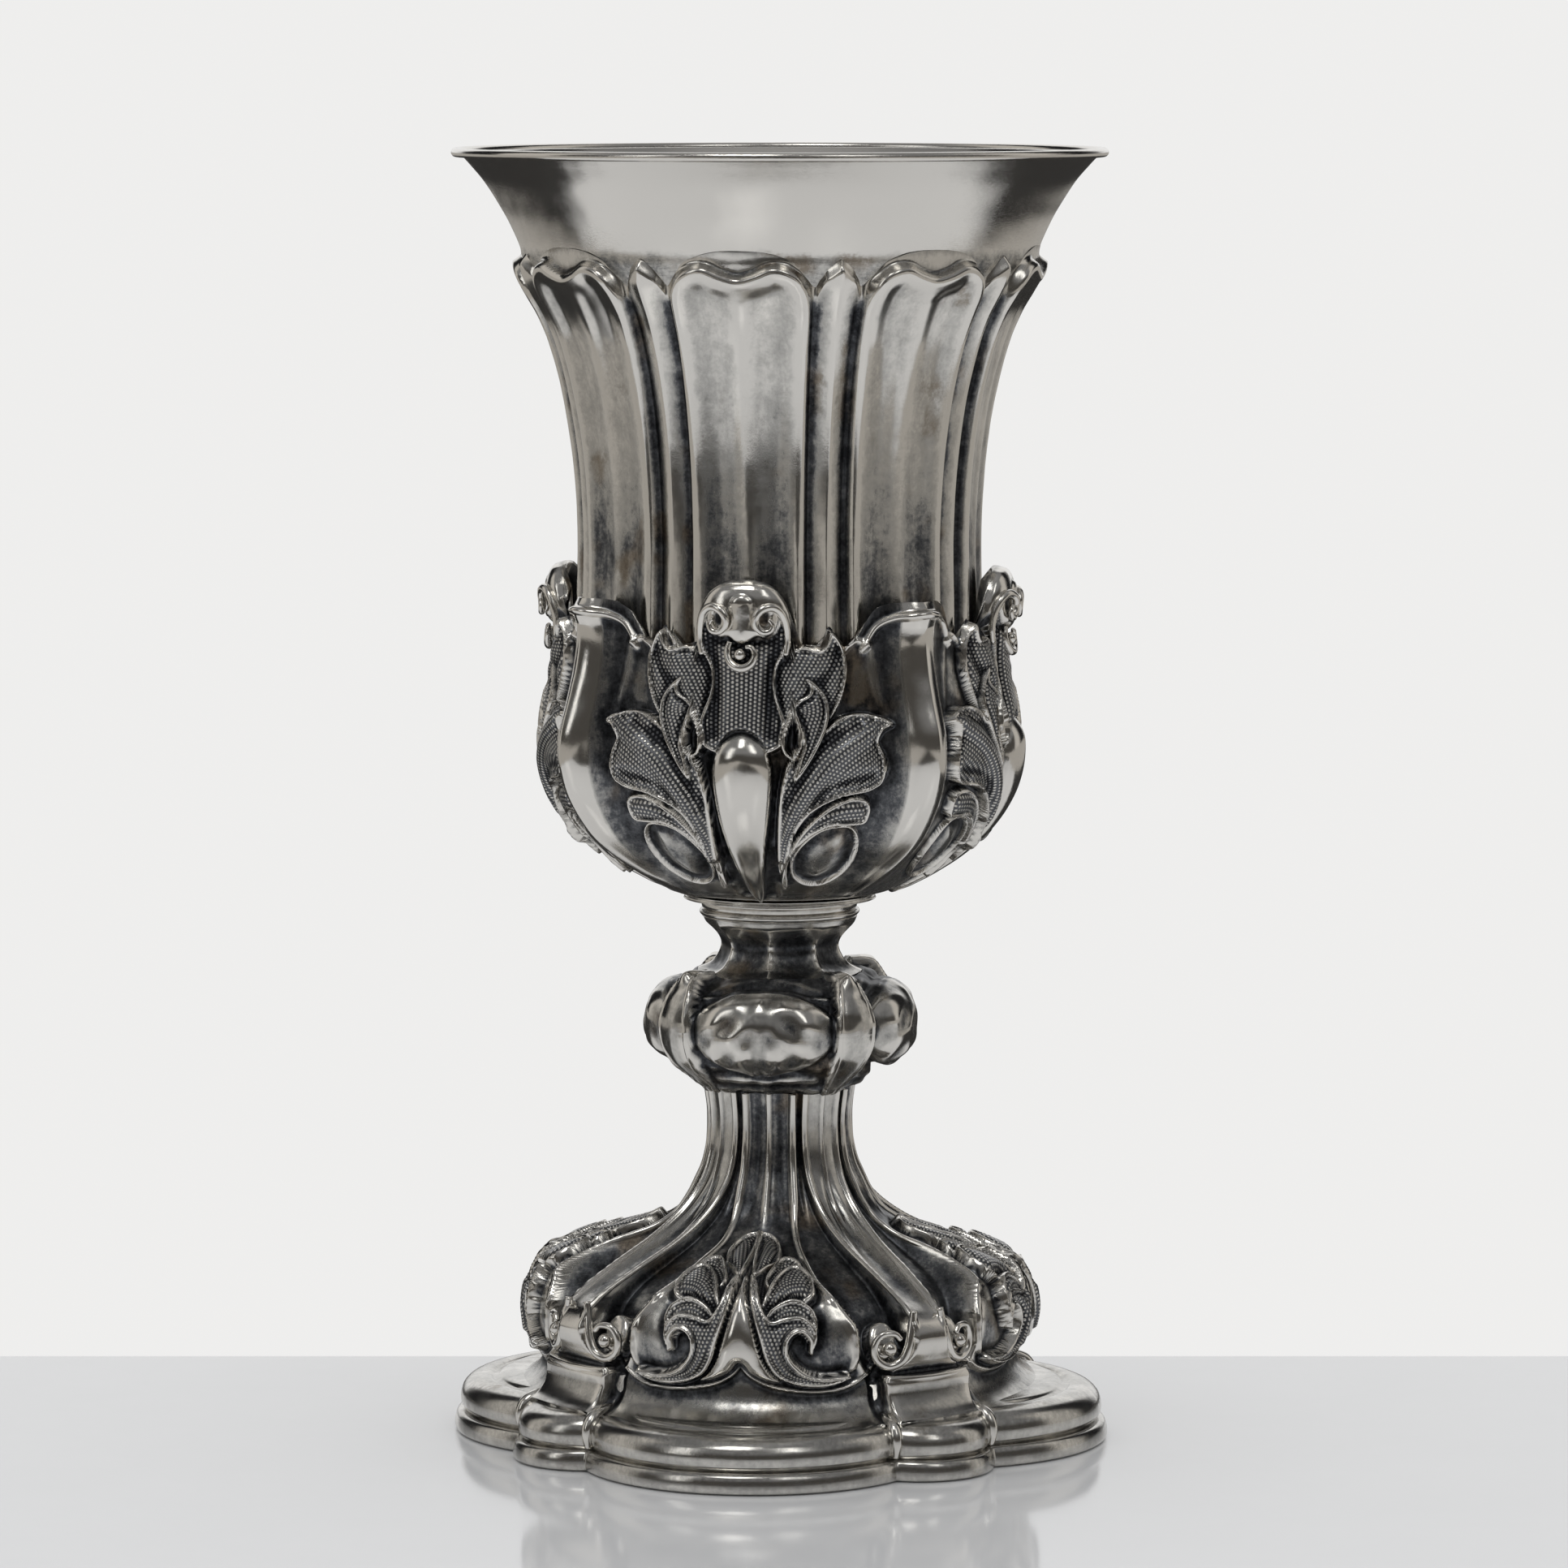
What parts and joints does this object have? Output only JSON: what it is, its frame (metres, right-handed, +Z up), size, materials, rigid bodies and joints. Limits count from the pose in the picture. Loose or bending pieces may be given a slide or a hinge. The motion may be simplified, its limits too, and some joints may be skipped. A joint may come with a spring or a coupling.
{
  "type": "standing cup",
  "caption": "Silver standing cup of ciborium form: flared bowl with fluted sleeve and leaf calyx, knop, and lobed domed foot, held by a tie rod and nut.",
  "frame": {"origin": "centre of the foot's resting plane, on the vessel's axis", "axes": "+Z up the vessel's axis to the lip; +X and +Y each through the middle of a leaf panel, so the brackets and petals stand on the diagonals"},
  "size_m": [0.1232, 0.1232, 0.24],
  "materials": {
    "chased_silver": "chased sheet silver with dark tarnish left in the recesses and bright rubbed ridges",
    "polished_silver": "plain hand-polished silver with fine scratches and light tarnish",
    "brass_fittings": "plain turned brass, dull",
    "steel_rod": "threaded rod, dull steel"
  },
  "bodies": {
    "foot": {"base_flange": "chased_silver", "plinth_moulding": "chased_silver", "moulding_bands": "chased_silver", "foot_dome": "chased_silver", "scroll_brackets": "chased_silver", "bridge_plate": "brass_fittings"},
    "knop": {"knop_lower": "chased_silver", "knop_upper": "chased_silver", "stem_neck": "chased_silver", "neck_collar": "polished_silver"},
    "bowl": {"seat_disc": "polished_silver", "leaf_calyx": "chased_silver", "calyx_scrolls": "chased_silver", "fluted_sleeve": "chased_silver", "cup": "polished_silver", "rim_wire": "polished_silver", "cup_boss": "brass_fittings", "tie_rod": "steel_rod"},
    "washer": {"nut_washer": "brass_fittings"},
    "nut": {"foot_nut": "brass_fittings"}
  },
  "joints": [
    {"name": "knop_turn", "type": "hinge", "parent": "foot", "child": "knop", "pos_m": [0, 0, 0.0657], "axis": [0, 0, 1], "continuous": true},
    {"name": "bowl_turn", "type": "hinge", "parent": "knop", "child": "bowl", "pos_m": [0, 0, 0.1008], "axis": [0, 0, 1], "continuous": true},
    {"name": "nut_travel", "type": "slide", "parent": "bowl", "child": "washer", "axis": [0, 0, -1], "range_m": [0, 0.0084]},
    {"name": "nut_turn", "type": "hinge", "parent": "washer", "child": "nut", "pos_m": [0, 0, 0.0382], "axis": [0, 0, -1], "range_deg": [0, 1980]}
  ],
  "couplings": [
    {"joint": "nut_travel", "follows": "nut_turn", "m_per_rad": 0.00023873}
  ]
}
